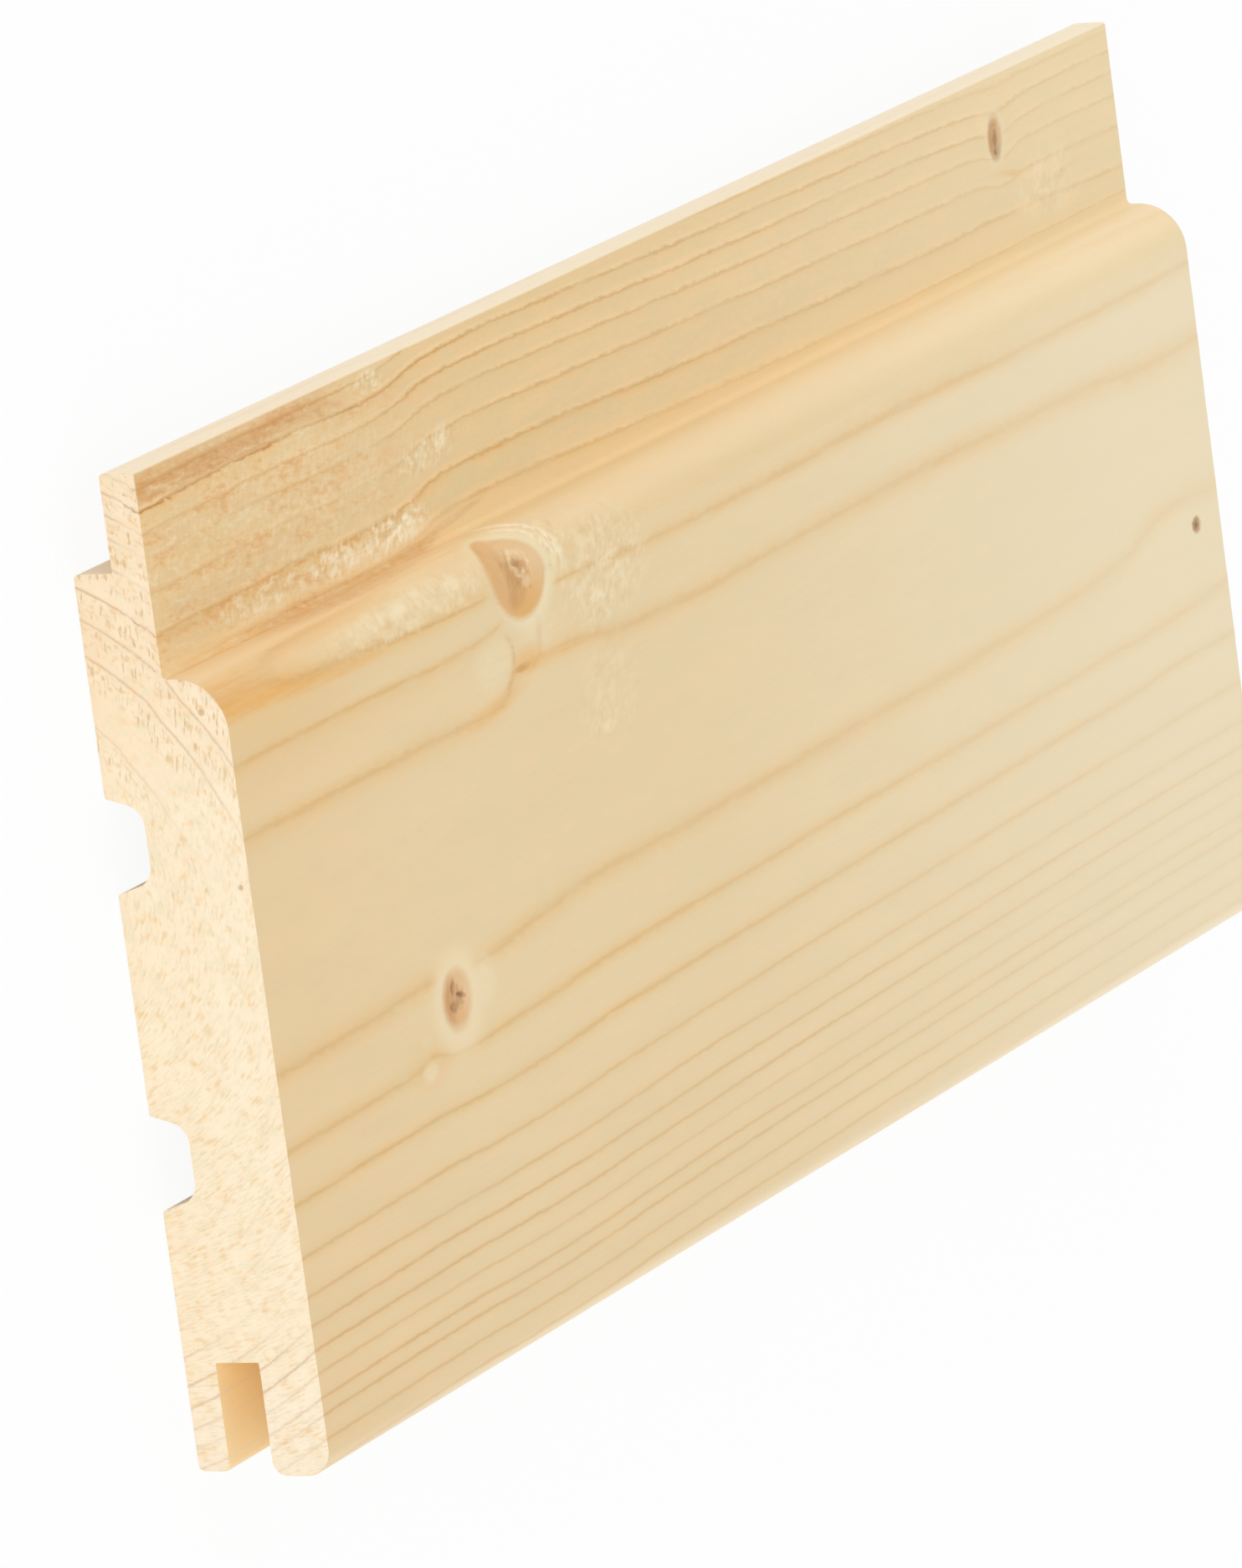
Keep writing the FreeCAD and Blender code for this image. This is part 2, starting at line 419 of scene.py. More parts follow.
def table(field, points, straight=False):
    """Look a field up in a short table of readings, by a Float Curve."""
    lows = [min(p[i] for p in points) for i in (0, 1)]
    spans = [max(max(p[i] for p in points) - lows[i], 1e-6) for i in (0, 1)]
    made = new_node("FloatCurve")
    curve = made.mapping.curves[0]
    scaled = [((a - lows[0]) / spans[0], (b - lows[1]) / spans[1]) for a, b in points]
    curve.points[0].location = scaled[0]
    curve.points[1].location = scaled[-1]
    for spot in scaled[1:-1]:
        curve.points.new(*spot)
    for point in curve.points:
        point.handle_type = "VECTOR" if straight else "AUTO_CLAMPED"
    made.mapping.update()
    feed(made.inputs["Value"], (field - lows[0]) / spans[0])
    return Field(made.outputs[0]) * spans[1] + lows[1]


# %% Fields: colour helpers
def rgb(red, green, blue):
    """A colour as a picture shows it, 0 to 255, turned into the light it stands for."""
    light = []
    for part in (red, green, blue):
        part /= 255
        light.append(part / 12.92 if part <= 0.04045 else ((part + 0.055) / 1.055) ** 2.4)
    return (*light, 1.0)


def tint(share, one, other, how="MIX"):
    made = new_node("Mix", data_type="RGBA", blend_type=how)
    for index, value in ((0, share), (6, one), (7, other)):
        feed(made.inputs[index], value)
    return Field(made.outputs[2])


# %% Fields: place in the wood, in millimetres
spot = new_node("TexCoord")
split = new_node("SeparateXYZ")
tree.links.new(spot.outputs["Object"], split.inputs[0])
X, Y, Z = [Field(output) / MM for output in split.outputs]
facing = new_node("SeparateXYZ")
tree.links.new(spot.outputs["Normal"], facing.inputs[0])
end_grain = smooth(maths("ABSOLUTE", Field(facing.outputs[0])), 0.55, 0.8)
print("the finish reads the place of each point in the solid")


# %% Fields: noise that is stretched along the grain
def grain_noise(spacing, detail):
    """Noise round 0, one blotch for each step of 1 in the three fields of the spacing."""
    place = new_node("CombineXYZ")
    for socket, value in zip(place.inputs, spacing):
        feed(socket, value)
    made = new_node("TexNoise")
    tree.links.new(place.outputs[0], made.inputs["Vector"])
    made.inputs["Scale"].default_value = 1.0
    made.inputs["Detail"].default_value = detail
    made.inputs["Roughness"].default_value = 0.55
    return Field(made.outputs["Fac"]) - 0.5


blotches = grain_noise((X / 26, Y / 4.5, Z / 4.5), 1.0)
fibres = grain_noise((X / 6, Y / 0.35, Z / 0.35), 2.0)
scales = grain_noise((X / 1.5, (Y + X * 0.18) / 0.6, Z / 0.6), 2.0)
curls = grain_noise(((X - Y * 0.25) / 0.7, Y / 1.0, Z / 1.0), 1.0)
clouds = grain_noise((X / 8, Y / 1.7, Z / 1.7), 2.0)
tufts = grain_noise(((X - Y * 0.3) / 2.2, Y / 1.4, Z / 1.4), 2.0)


# %% [markdown]
# ## Growth rings
#
# Each ring starts with pale early wood and ends with a thin dark line of late wood, with its
# sharp edge outside. So the finish needs one number, the distance from the pith, corrected for
# the way the trunk wanders. The radii of the rings and the corrections are short tables read off
# the board. The corrections are one small table each for the tongue, the front shoulder
# and the near and far parts of the groove side, blended by the direction from the pith.

# %% Distance from the pith
pith_y = X * PITH_ACROSS[1] + PITH_ACROSS[0]
pith_z = X * PITH_HEIGHT[1] + PITH_HEIGHT[0]
out_y = Y - pith_y
out_z = Z - pith_z
radius_here = maths("SQRT", out_y * out_y + out_z * out_z)
bearing = maths("ARCTAN2", out_z, out_y) * (180 / math.pi)

WANDER_TONGUE = ((-110, -0.55), (-85, -0.42), (-66, -0.79), (-57, -0.31), (-46, 0.48),
                 (-30, 0.21), (0, -0.71), (45, -1.81), (110, -3.15))
WANDER_ROUNDING = ((-110, -0.95), (-103, -1.05), (-95, -1.45), (-80, -1.8), (-62, -2.3),
                   (-56, -2.4), (-44, -0.8), (110, -0.8))
WANDER_SHOULDER = ((-110, -0.94), (-85, -1.06), (-62, -1.42), (-57, -1.30), (-54, -0.90),
                   (-51, -0.21), (-46, -0.18), (-30, -0.84), (0, -1.16), (45, -1.33),
                   (67, -1.72), (90, -1.84), (110, -1.93))
WANDER_MIDDLE = ((-110, 0.94), (-92, 0.85), (-79, 0.75), (-73, 1.07), (-64, 0.86),
                 (-52, 0.54), (-40, 0.34), (0, 0.37), (60, 0.29), (85, -0.09),
                 (103, -0.95), (110, -0.82))
WANDER_GROOVE = ((-110, 2.43), (-80, 2.33), (-70, 2.50), (-64, 2.55), (-56, 2.60),
                 (-40, 2.36), (0, 2.01), (60, 1.89), (110, 2.13))

wander = table(X, WANDER_TONGUE)
for start, end, readings in ((44.5, 48.5, WANDER_ROUNDING), (57.5, 62.5, WANDER_SHOULDER),
                             (62.5, 108, WANDER_MIDDLE), (112, 140, WANDER_GROOVE)):
    share = maths("MINIMUM", maths("MAXIMUM", (bearing - start) / (end - start), 0.0), 1.0)
    wander = lerp(share, wander, table(X, readings))

# %% Swellings of the rings, round the tongue knot and beside the two smaller knots
SWELLINGS = (
    # middle, half length, half width, height
    (81.0, 39.5, 4.0, 6.0, 0.9),
    (81.0, 43.5, 12.0, 3.5, 0.4),
    (81.0, 33.0, 9.0, 2.2, -0.45),
    (-79.0, -15.8, 2.6, 2.6, 0.33),
    (97.0, -13.5, 12.0, 3.2, -0.6),
)
swelling = 0.0
for middle_x, middle_y, long, wide, height in SWELLINGS:
    spread = squared((X - middle_x) / long) + squared((Y - middle_y) / wide)
    swelling = maths("EXPONENT", spread * -1.0) * height + swelling

# %% Place in each knot
knot_fields = {}
for name, knot in KNOTS.items():
    kx, ky, kz = knot["place"]
    way_y, way_z = knot["way"]
    from_y = Y - pith_at(kx)[0]
    from_z = Z - pith_at(kx)[1]
    out = from_y * way_y + from_z * way_z
    grow = maths("MAXIMUM", out / knot["reach"], 0.05)
    side = (from_y * way_z - from_z * way_y) / grow / knot["wide"]
    along = (X - kx) / grow / knot["along"] + side * (knot["lean"] * knot["wide"] / knot["along"])
    size = maths("SQRT", squared(along) + squared(side)) + fibres * 0.10
    if name == "shoulder knot":     # drawn out to a corner where it runs down the soft edge
        corner = squared((along + 0.4) / 0.4) + squared((side - 1.0) / 0.4)
        size = size - maths("EXPONENT", corner * -1.0) * 0.30
    knot_fields[name] = dict(size=size, side=side, along=along)

# %% Ring number, and how far it is to the dark line of the ring
RING_LINES = (12.0, 17.0, 21.5, 26.5, 32.1, 35.1, 37.9, 41.1, 43.7, 45.7, 47.6, 49.4, 51.3,
              52.6, 54.6, 56.6, 58.6, 61.0)
RING_STRENGTH = (0.4, 0.4, 0.4, 0.5, 0.85, 0.9, 1.0, 0.8, 0.75, 0.95, 1.0, 0.55, 0.85,
                 0.95, 0.8, 0.8, 0.7, 0.7)
OUTER_HALF = 0.65       # a ring's colours reach this far outside its line

on_tongue = smooth(Y, 28.0, 28.8) * smooth(Z, 4.5, 5.5)
rough_tongue = on_tongue * smooth(X, -35, -85)
distance = (radius_here - wander + swelling + blotches * 0.25 + fibres * 0.12
            + scales * (0.25 + on_tongue * 0.25) + clouds * (on_tongue * 0.35 + rough_tongue * 0.6))
ring_points = [(line, number) for number, line in enumerate(RING_LINES)]
ring = maths("FLOOR", table(distance - OUTER_HALF, ring_points, straight=True))
line_points = [(number - 0.5, line) for number, line in enumerate(RING_LINES)]
strength_points = [(number - 0.5, value) for number, value in enumerate(RING_STRENGTH)]
inside_line = table(ring + 0.5, line_points, straight=True) - distance
strength = table(ring + 0.5, strength_points, straight=True)

round_size = knot_fields["round knot"]["size"]
shoulder_size = knot_fields["shoulder knot"]["size"]
strength = strength * smooth(shoulder_size, 1.1, 1.5) * smooth(round_size, 1.2, 1.9)
strength = strength * (0.9 + blotches * 0.8 + fibres * 0.8
                       + clouds * (on_tongue * 1.4 + rough_tongue * 2.2))
strength = maths("MAXIMUM", strength, 0.0)
strength = strength * (1.0 - rough_tongue * smooth(Y, 34.5, 36.0) * smooth(Y, 44.0, 43.0) * 0.5)
on_wall = smooth(Z, 8.0, 8.6) * smooth(Y, 27.4, 28.1) * smooth(X, -62, -45)
strength = strength * (1.0 - on_wall)
outward = smooth(distance, 34, 46)
late_wood = maths("EXPONENT", squared(inside_line / 0.13) * -1.0) * strength
warm_wood = maths("EXPONENT", squared(inside_line / 0.42) * -1.0) * strength
skirt = (maths("EXPONENT", inside_line * -0.8) * smooth(inside_line, -0.3, 0.1)) * strength
new_wood = maths("EXPONENT", squared((inside_line + 0.38) / 0.17) * -1.0) * strength
print("rings:", len(RING_LINES))

# %% [markdown]
# ## Colours of the planed face
#
# Spruce is pale straw between the rings. The late wood is a thin brown line in a soft orange
# glow. Near the middle of the tree the glow is all there is, and further out the lines are finer
# and browner. The face is paler towards the far end, partly the wood's colour and partly painted
# haze of light, and a little darker at the near end and on the tongue. Painted light lightens
# the root of the tongue, the soft edge, the tip, the back, the lower lip and the groove, and
# painted shade darkens the foot of the shoulder wall.

# %% Masks for the parts of the section
near_end = smooth(X, -30, -95)
front = smooth(Z, 7.0, 7.6) * (1.0 - end_grain)


def oval(middle_x, middle_y, long, wide, lean=0.0):
    """1 in the middle of an oval patch of the front, fading to 0 at its edge."""
    run = X - middle_x
    rise = Y - middle_y - run * lean
    return smooth(squared(run / long) + squared(rise / wide), 1.2, 0.0)


# %% Straw, orange and brown
STRAW = rgb(231, 207, 163)
STRAW_OUTER = rgb(231, 206, 162)
ORANGE = rgb(228, 177, 88)
BROWN = rgb(184, 134, 64)

planed = tint(outward, STRAW, STRAW_OUTER)
FRESH = rgb(250, 220, 176)
glow_place = maths("MAXIMUM", on_tongue * (0.45 + smooth(Y, 33, 30) * 0.55),
                   smooth(X, -50, -75) * smooth(Y, 9, 18))
planed = tint(skirt * glow_place * 0.28, planed, ORANGE)
far_half = smooth(X, 0, 70) * (1.0 - on_tongue)
golden = smooth(Y, 8, 14) * smooth(X, -10, 60) * (1.0 - on_tongue)
warm_share = 0.40 - outward * 0.22 + far_half * 0.08 + golden * 0.32
planed = tint(warm_wood * warm_share, planed, ORANGE)
planed = tint(new_wood * on_tongue * 0.38, planed, FRESH)
tongue_lines = on_tongue * (0.12 + smooth(Y, 42.0, 44.5) * near_end * 0.45) - rough_tongue * 0.12
face_lines = (0.20 + near_end * (0.06 + outward * 0.08) + outward * 0.10 - far_half * 0.05
              + golden * 0.09)
planed = tint(late_wood * (face_lines + tongue_lines), planed, BROWN)

shade = (1.0 + blotches * 0.06 + fibres * 0.05 + scales * 0.03 + clouds * 0.05
         + on_tongue * (clouds + scales) * 0.08 + rough_tongue * (blotches + fibres) * 0.12)
grey = new_node("CombineColor")
for socket in grey.inputs[:3]:
    feed(socket, shade)
planed = tint(1.0, planed, Field(grey.outputs[0]), "MULTIPLY")

# %% Soft clouds of a rosier and a greener straw
ROSY_CLOUD = rgb(239, 203, 158)
GREEN_CLOUD = rgb(225, 210, 166)
planed = tint(smooth(clouds, 0.02, 0.30) * (0.30 + on_tongue * 0.30), planed, ROSY_CLOUD)
planed = tint(smooth(clouds, -0.02, -0.30) * 0.35, planed, GREEN_CLOUD)

# %% Paler at the far end (partly painted haze), deeper on the tongue, rosy on the soft edge, and painted light and shade at the root, soft edge, tip, back, lip and groove
PALE_END_AND_PAINTED_HAZE = rgb(249, 240, 212)
TONGUE_TINT = rgb(255, 249, 237)
ROSY_TINT = rgb(255, 250, 240)
NEAR_TINT = rgb(254, 250, 245)
ROOT_PAINTED_LIGHT = rgb(253, 221, 166)
RED_STREAK_AND_ROOT_SHADE = rgb(206, 148, 84)
MOTTLE = rgb(210, 154, 92)
SOFT_EDGE_PAINTED_HIGHLIGHT = rgb(255, 232, 196)
PALE_MOTTLE = rgb(244, 220, 178)
PALE_BLOTCH_AND_PAINTED_LIGHT = rgb(252, 238, 212)
GROOVE_PAINTED_BOUNCE_LIGHT = rgb(255, 227, 173)
WALL = rgb(248, 220, 176)

# Paler towards the far end, partly the wood's own colour and partly painted haze of light; a little
# darker at the near end.
planed = tint(smooth(X, -50, 125) * 0.48, planed, PALE_END_AND_PAINTED_HAZE)
planed = tint(smooth(X, -60, -110), planed, NEAR_TINT, "MULTIPLY")
planed = tint(on_tongue, planed, TONGUE_TINT, "MULTIPLY")
# Painted light: a pale golden band at the root of the tongue lightens the shade in the corner under
# the shoulder.
root_light_place = on_tongue * smooth(Y, 33.0, 28.0) * smooth(Z, 8.4, 7.9)
planed = tint(root_light_place * (0.50 - smooth(X, 20, 110) * 0.38), planed, ROOT_PAINTED_LIGHT)
planed = tint(rough_tongue * smooth(scales + clouds, 0.0, 0.35) * 0.42, planed, MOTTLE)
planed = tint(rough_tongue * smooth(scales + clouds * 0.5, -0.02, -0.3) * 0.45, planed, PALE_MOTTLE)
planed = tint(smooth(Y, 22.0, 25.0) * (1.0 - on_tongue), planed, ROSY_TINT, "MULTIPLY")
# Painted highlight: a paler band along the soft edge of the front shoulder, stronger towards the
# far end.
soft_highlight_share = 0.22 + smooth(X, 20, 110) * 0.12
planed = tint(smooth(Y, 24.5, 27.0) * (1.0 - on_tongue) * soft_highlight_share, planed, SOFT_EDGE_PAINTED_HIGHLIGHT)
wall = smooth(Z, 8.1, 8.7) * smooth(Z, 11.9, 10.6) * smooth(Y, 27.4, 28.0) * smooth(X, -46, -60)
planed = tint(wall * 0.38, planed, WALL)
streak = smooth(Y, 44.5, 45.2) * smooth(Y, 48.6, 46.0) * smooth(X + blotches * 40, -70, -82)
planed = tint(streak * on_tongue * (0.58 + clouds + fibres + scales), planed, RED_STREAK_AND_ROOT_SHADE)
# Painted light: the tip edge of the tongue is painted pale, as a glow.
planed = tint(smooth(Y, 47.70, 47.95) * smooth(Z, 4.0, 4.3) * 0.75, planed, PALE_BLOTCH_AND_PAINTED_LIGHT)
in_groove = smooth(Y, -36.4, -37.0) * smooth(Z, 3.1, 3.3) * smooth(Z, 8.6, 7.9)
# Painted light: the back, the relief grooves and the back shoulder are painted paler to lift their
# shade near the floor.
planed = tint(smooth(Z, 4.0, 3.7) * 0.75, planed, PALE_BLOTCH_AND_PAINTED_LIGHT)
# Painted light: the rounding of the lower lip is painted paler where it faces away from the light.
planed = tint(smooth(Y, -45.6, -47.6) * 0.45, planed, PALE_BLOTCH_AND_PAINTED_LIGHT)
# Painted light: the inside of the groove is painted bright golden, standing in for light bouncing
# inside it.
planed = tint(in_groove * (0.9 - late_wood * 0.6), planed, GROOVE_PAINTED_BOUNCE_LIGHT)

# %% Where the planed face shows the grain round the shoulder knot, with painted shade along the root of the tongue
EMBER = rgb(232, 174, 94)
CLEAR = rgb(236, 219, 180)
SMOULDER = rgb(196, 142, 84)
for colour, share, patch in (
        (EMBER, 0.40, (-108, 25.7, 16.0, 2.2)),
        (EMBER, 0.16, (-100, 21.6, 16.0, 2.2)),
        (EMBER, 0.40, (-93, 24.1, 17.0, 1.0, -0.04)),
        (EMBER, 0.20, (-88, 27.4, 19.0, 0.7, 0.01)),
        (WALL, 0.45, (-62, 30.6, 13.0, 1.3)),
        # Painted shade: golden-brown lines along the foot of the shoulder wall, at the root of the
        # tongue.
        (RED_STREAK_AND_ROOT_SHADE, 0.45, (-58, 29.0, 6.0, 0.6)),
        (RED_STREAK_AND_ROOT_SHADE, 0.42, (-76, 28.7, 24.0, 0.6)),
        (RED_STREAK_AND_ROOT_SHADE, 0.32, (-50, 30.0, 8.5, 0.5, 0.10)),
        (CLEAR, 0.40, (-74, 25.6, 18.0, 1.7)),
        (CLEAR, 0.45, (-56.6, 17.2, 4.5, 3.4)),
        (CLEAR, 0.35, (-46.5, 18.6, 4.5, 2.8)),
        (CLEAR, 0.50, (-66.8, -11.2, 2.5, 3.0)),
        (EMBER, 0.14, (-80.0, -16.0, 5.5, 3.6)),
        (CLEAR, 0.60, (-80.2, -16.9, 1.8, 1.3)),
        (CLEAR, 0.35, (-80.0, -13.9, 1.3, 0.9)),
        (EMBER, 0.35, (-49.5, 16.2, 4.0, 1.6)),
        (EMBER, 0.25, (-43.0, 15.4, 13.0, 0.8, -0.02)),
        (EMBER, 0.25, (-57.0, 13.2, 8.0, 1.1, 0.10)),
        (SMOULDER, 0.42, (-51.0, 15.6, 1.9, 0.5)),
        (SMOULDER, 0.15, (-46.6, 18.4, 0.9, 2.6, 1.5)),
        (EMBER, 0.30, (83.0, 37.2, 4.5, 0.5, -0.18)),
        (EMBER, 0.25, (94.0, 34.9, 6.0, 0.4, 0.10)),
        (FRESH, 0.60, (88.8, 36.2, 5.0, 0.7, -0.10)),
        (FRESH, 0.55, (86.0, 33.2, 3.6, 0.8, -0.08)),
        (FRESH, 0.50, (96.0, 31.9, 4.0, 0.9, 0.06)),
        (FRESH, 0.40, (93.0, 39.2, 4.0, 0.8, -0.04)),
        (FRESH, 0.55, (77.6, 43.4, 2.0, 1.4, -0.3))):
    ragged = 1.0 + (fibres + scales + blotches) * 1.5
    planed = tint(oval(*patch) * share * ragged, planed, colour)

fold = maths("SQRT", squared((X + 57.0) / 4.6) + squared((Y - 17.2) / 3.4)) - 1.0
fold = maths("EXPONENT", squared(fold / 0.09) * -1.0) * smooth(X, -56.5, -53.5)
planed = tint(fold * smooth(Y, 20.6, 18.0) * front * (0.26 + scales), planed, SMOULDER)

# %% [markdown]
# ## Sawn ends
#
# End grain shows the cut mouths of the fibres. It is painted much paler than the face, as painted
# light for the brighter light on the sawn end, with faint pores that lie along the rings, and the
# rings as soft arcs. So its noise is laid out by distance from the pith and by length along the
# ring, and not by height and width.

# %% End grain
CREAM_PAINTED_LIGHT = rgb(244, 227, 198)
CREAM_OUTER_PAINTED_LIGHT = rgb(242, 220, 188)
END_ARC = rgb(196, 160, 124)
PORE = rgb(218, 192, 146)
DARK_PORE = rgb(206, 168, 122)
PEACH = rgb(250, 214, 164)
DARK_DOT = rgb(186, 152, 108)
LIP_PAINTED_GLOW = rgb(246, 231, 210)
MOSS = rgb(228, 218, 184)

along_ring = bearing * radius_here * (math.pi / 180)
pores = grain_noise((radius_here / 0.46, along_ring / 0.9, X), 1.0)
rays = grain_noise((radius_here / 1.3, along_ring / 0.42, X), 1.0)
tongue_side = smooth(Y, 8, 24)
# The cream of the sawn end is painted light: paler than the face, to stand for the brighter light
# falling on the end.
sawn = tint(smooth(Y, 12, 32), CREAM_PAINTED_LIGHT, CREAM_OUTER_PAINTED_LIGHT)
# Random pale blotches on the sawn end, in the same pale colour that serves as painted light on the
# face.
sawn = tint(smooth(blotches, -0.1, 0.3) * 0.35, sawn, PALE_BLOTCH_AND_PAINTED_LIGHT)
# Painted glow: the lips of the groove on the sawn end are painted paler.
sawn = tint(smooth(Y, -37, -41) * 0.45, sawn, LIP_PAINTED_GLOW)
sawn = tint(smooth(curls + clouds, 0.0, 0.30) * 0.34, sawn, PEACH)
sawn = tint(smooth(curls - clouds, 0.0, -0.30) * 0.45, sawn, MOSS)
groove_arcs = smooth(Y, -33, -38) * (0.22 + smooth(Y, -43, -39) * 0.28)
arcs = late_wood * (0.10 + tongue_side * 0.46 + groove_arcs)
sawn = tint(arcs + warm_wood * 0.05, sawn, END_ARC)
band = smooth(inside_line, 0.1, 0.7) * smooth(inside_line, 2.7, 1.9)
between = lerp(tongue_side, 0.46, band * 0.5 + 0.12)
sawn = tint(smooth(pores + curls * 0.6, -0.06, 0.32) * (between + clouds), sawn, PORE)
dark_pores = smooth(rays + scales * 0.3, 0.04, 0.24) * (band * 0.62 + 0.05)
sawn = tint(dark_pores * tongue_side, sawn, DARK_PORE)
for dot_y, dot_z, wide in ((25.2, 11.4, 0.36), (8.5, 13.0, 0.28)):
    dot = smooth(squared((Y - dot_y) / wide) + squared((Z - dot_z) / wide), 1.6, 0.1)
    sawn = tint(dot * smooth(X, 0.0, -1.0) * 0.65, sawn, DARK_DOT)

wood = tint(end_grain, planed, sawn)

# %% [markdown]
# ## Colours of the knots
#
# A knot is the cut of a branch: pinkish tan, darker and more golden on one side where the resin
# gathered, with a small brown heart. The fibres turn round it in a pale halo.

# %% Knots
KNOT_COLOURS = {
    # middle, side towards the groove, side towards the near end, heart, halo
    "shoulder knot": (rgb(229, 191, 141), rgb(224, 174, 106), rgb(220, 174, 116),
                      rgb(198, 148, 92), rgb(238, 224, 186)),
    "round knot": (rgb(226, 186, 138), rgb(226, 180, 128), rgb(206, 154, 98),
                   rgb(190, 142, 96), rgb(237, 217, 177)),
    "tongue knot": (rgb(213, 172, 124), rgb(200, 170, 130), rgb(200, 156, 106),
                    rgb(168, 128, 88), rgb(238, 222, 184)),
    "pin knot": (rgb(186, 148, 108), rgb(196, 160, 118), rgb(180, 140, 100),
                 rgb(138, 102, 74), rgb(238, 224, 186)),
}


def knot_finish(under, name, halo_reach, halo_share, soft):
    middle, low, near, heart, ring_round = KNOT_COLOURS[name]
    place = knot_fields[name]
    size = place["size"]
    halo = smooth(size, halo_reach, 1.0) * halo_share * front
    if name == "shoulder knot":
        halo = halo * smooth(place["along"], -1.3, 0.0)
    finish = tint(halo, under, ring_round)
    inside = tint(smooth(place["side"] + curls * 0.4, 0.2, -0.7), middle, low)
    inside = tint(smooth(place["along"] + curls * 0.3, 0.05, -0.7), inside, near)
    inside = tint(smooth(place["along"], 0.1, 1.1) * soft * 1.6, inside, ring_round)
    inside = tint(smooth(size + curls * 0.7, 0.55, 0.10) * 0.8, inside, heart)
    return tint(smooth(size, 0.97 + soft, 0.97 - soft), finish, inside)


for name, halo_reach, halo_share, soft in (
        ("shoulder knot", 1.5, 0.7, 0.11), ("round knot", 2.3, 0.9, 0.26),
        ("tongue knot", 1.9, 0.5, 0.28), ("pin knot", 2.2, 0.5, 0.3)):
    wood = knot_finish(wood, name, halo_reach, halo_share, soft)

# %% Pale arcs of fibre that turn round the shoulder knot
arcs_round = 0.0
for arc_size, arc_wide in ((1.34, 0.07), (1.60, 0.09)):
    off_arc = (shoulder_size + curls * 0.2 - arc_size) / arc_wide
    arcs_round = maths("EXPONENT", squared(off_arc) * -1.0) + arcs_round
shoulder_place = knot_fields["shoulder knot"]
quarter = smooth(shoulder_place["along"], 0.15, 0.7) * smooth(shoulder_place["side"], -0.5, 0.2)
wood = tint(arcs_round * quarter * front * (0.55 + curls * 1.5), wood, rgb(252, 240, 212))

# %% The chipped heart of the shoulder knot, and dark checks, partly painted shade inside the cracks
CHIP = rgb(246, 220, 180)
CHECK_AND_PAINTED_CRACK_SHADE = rgb(140, 96, 62)
chip_ring = maths("SQRT", squared((X + 48.1) / 1.5) + squared((Y - 25.3) / 1.2))
chip = smooth(maths("ABSOLUTE", chip_ring - 0.95 + scales * 1.2), 0.45, 0.05)
wood = tint(chip * front * (0.38 + curls * 1.4), wood, CHIP)
for colour, share, patch in (
        (SMOULDER, 0.34, (-50.8, 24.2, 1.2, 3.6, -0.3)),
        (SMOULDER, 0.42, (-50.0, 22.2, 2.2, 1.2)),
        (CHIP, 0.40, (-47.6, 23.4, 1.0, 0.7)),
        # The dark check patches lie on the cracks in the mesh. They are partly the check's dark
        # colour and partly painted shade inside it.
        (CHECK_AND_PAINTED_CRACK_SHADE, 0.22, (-48.2, 25.3, 0.9, 0.6)),
        (CHECK_AND_PAINTED_CRACK_SHADE, 0.55, (-73.5, -10.3, 0.6, 0.9, 0.3)),
        (CHECK_AND_PAINTED_CRACK_SHADE, 0.55, (-71.9, -11.4, 1.0, 0.35, -0.3)),
        (CHECK_AND_PAINTED_CRACK_SHADE, 0.40, (-73.7, -12.2, 1.1, 0.7, -0.2)),
        (CHECK_AND_PAINTED_CRACK_SHADE, 0.50, (80.0, 40.0, 0.4, 0.4))):
    wood = tint(oval(*patch) * share * front, wood, colour)

# %% [markdown]
# ## Torn grain
#
# Where the grain dives, the planer lifts small scales of fibre, pressed into the mesh as shallow
# scallops. The way they catch the light is painted on: pale flecks as painted highlights, with a
# darker side as painted shade. Beside the big knot they stand in short strokes across the grain,
# and on the tongue they are small slanted scales.

# %% Painted highlights and painted shade of the torn grain
PAINTED_GLINT_STROKE = rgb(246, 232, 196)
PAINTED_GLINT_FLECK = rgb(251, 239, 208)
PAINTED_SHADE_FLECK = rgb(206, 164, 118)


def flecks(under, pattern, glint_colour, patches):
    """Painted highlight flecks and painted shade flecks in oval patches, each with its share and
    the patch.
    """
    torn = 0.0
    for share, patch in patches:
        torn = maths("MAXIMUM", torn, oval(*patch) * share)
    torn = torn * front
    pale = tint(torn * smooth(pattern, -0.08, 0.22), under, glint_colour)
    return tint(torn * smooth(pattern, -0.02, -0.30) * 0.55, pale, PAINTED_SHADE_FLECK)


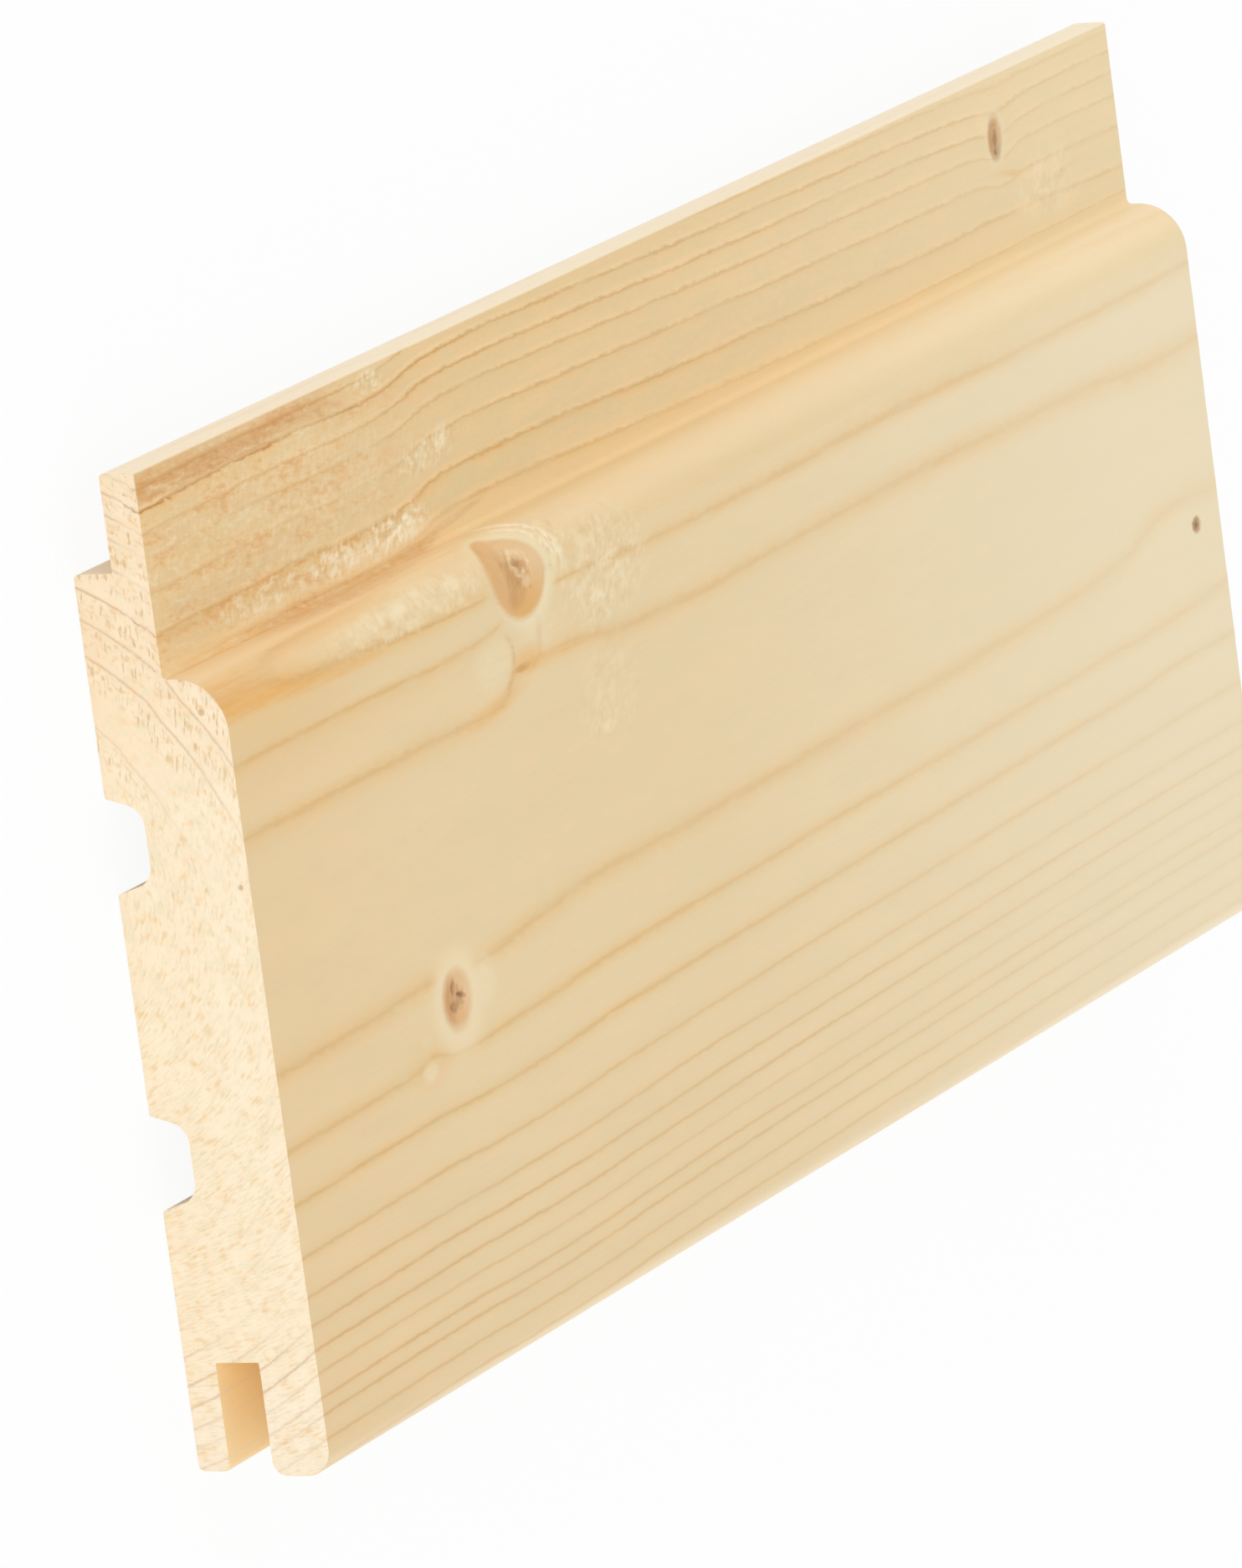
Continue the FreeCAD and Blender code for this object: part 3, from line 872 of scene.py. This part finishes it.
# Painted highlights and painted shade of the torn scales, beside the knot and on the tongue.
outside_knot = smooth(shoulder_size, 1.0, 1.25)
beside_knot = tint(outside_knot, wood, flecks(wood, tufts + curls * 0.5, PAINTED_GLINT_STROKE, (
    (0.50, (-31.5, 21.5, 11.0, 6.5)), (0.62, (-33.5, 18.5, 5.5, 3.5)),
    (0.60, (-40.2, 25.9, 3.6, 2.4)), (0.25, (-33.5, 9.5, 8.0, 6.0)),
    (0.50, (-35.0, 6.5, 4.5, 1.8)), (0.42, (-70.0, 25.6, 22.0, 2.2)))))
wood = flecks(beside_knot, tufts * 0.7 + curls * 0.5 - scales * 0.4, PAINTED_GLINT_FLECK, (
    (1.00, (-61.5, 31.6, 9.0, 2.3, 0.06)), (0.75, (-73, 31.4, 9.0, 2.0, 0.02)),
    (0.60, (-88, 31.5, 13.0, 2.1)),
    (0.60, (-52, 37.6, 9.0, 2.0, 0.08)), (0.85, (-62.5, 46.3, 3.2, 1.5)),
    (0.30, (91, 34.8, 9.0, 4.5)), (0.20, (-85, 38.5, 35.0, 9.0)),
    (0.12, (-68, 25.6, 18.0, 2.4))))

# %% [markdown]
# ## Surface
#
# Planed, untreated spruce is matt with a faint silky sheen. A light bump follows the fibres,
# stronger on the sawn ends.

# %% Shader
relief = fibres * 0.25 + pores * end_grain * 1.2
bump = new_node("Bump")
bump.inputs["Strength"].default_value = 0.6
bump.inputs["Distance"].default_value = 0.00012
feed(bump.inputs["Height"], relief)

skin = new_node("BsdfPrincipled")
feed(skin.inputs["Base Color"], wood)
feed(skin.inputs["Roughness"], 0.58 + fibres * 0.2 + end_grain * 0.25)
tree.links.new(bump.outputs[0], skin.inputs["Normal"])
skin.inputs["Specular IOR Level"].default_value = 0.3
surface = new_node("OutputMaterial")
tree.links.new(skin.outputs[0], surface.inputs["Surface"])
board_data.materials.append(spruce)
print("nodes in the finish:", len(tree.nodes))

# %% [markdown]
# ## Floor and light
#
# The photo is a cut-out on white, in soft light. The floor is white, and to the camera it is
# partly its own light, so that it shows white with only a breath of the board's shadow. The
# world lights the board evenly, and two large lamps, one towards the sawn end and one towards
# the tongue, lift those two sides as in the photo.

# %% Floor
floor_mesh = bmesh.new()
hair_below = Matrix.Translation((0, 0, -0.1 * MM))
bmesh.ops.create_grid(floor_mesh, x_segments=1, y_segments=1, size=6.0, matrix=hair_below)
floor_data = bpy.data.meshes.new("floor")
floor_mesh.to_mesh(floor_data)
floor_mesh.free()
floor = bpy.data.objects.new("floor", floor_data)
bpy.context.scene.collection.objects.link(floor)

paper = bpy.data.materials.new("white_paper")
paper.use_nodes = True
tree = paper.node_tree
tree.nodes.clear()
rays = new_node("LightPath")
seen = maths("MAXIMUM", Field(rays.outputs["Is Camera Ray"]),
             maths("MAXIMUM", Field(rays.outputs["Is Glossy Ray"]),
                   Field(rays.outputs["Is Transmission Ray"])))
matt = new_node("BsdfDiffuse")
matt.inputs["Color"].default_value = (0.9, 0.9, 0.9, 1)
own_light = new_node("Emission")
mixed = new_node("MixShader")
feed(mixed.inputs[0], seen * 0.93)
tree.links.new(matt.outputs[0], mixed.inputs[1])
tree.links.new(own_light.outputs[0], mixed.inputs[2])
sheet = new_node("OutputMaterial")
tree.links.new(mixed.outputs[0], sheet.inputs["Surface"])
floor_data.materials.append(paper)

# %% World and lamps
sky = bpy.data.worlds.new("studio")
sky.use_nodes = True
tree = sky.node_tree
tree.nodes.clear()
rays = new_node("LightPath")
seen = maths("MAXIMUM", Field(rays.outputs["Is Camera Ray"]),
             maths("MAXIMUM", Field(rays.outputs["Is Glossy Ray"]),
                   Field(rays.outputs["Is Transmission Ray"])))
air = new_node("Background")
feed(air.inputs["Strength"], lerp(seen, 0.80, 1.0))
around = new_node("OutputWorld")
tree.links.new(air.outputs[0], around.inputs["Surface"])
air.inputs["Color"].default_value = (1, 1, 1, 1)
bpy.context.scene.world = sky


def lamp(name, place, size, power):
    """A square soft lamp that looks at the board."""
    light = bpy.data.lights.new(name, "AREA")
    light.size = size
    light.energy = power
    holder = bpy.data.objects.new(name, light)
    holder.location = place
    holder.rotation_euler = (-Vector(place)).to_track_quat("-Z", "Y").to_euler()
    bpy.context.scene.collection.objects.link(holder)


lamp("end_lamp", (-1.30, 0.15, 0.50), 0.8, 4.0)
lamp("tongue_lamp", (0.10, 1.30, 0.50), 0.8, 3.0)
lamp("groove_lamp", (-0.50, -1.20, 0.30), 0.8, 4.0)

# %% Colour as written
bpy.context.scene.view_settings.view_transform = "Standard"
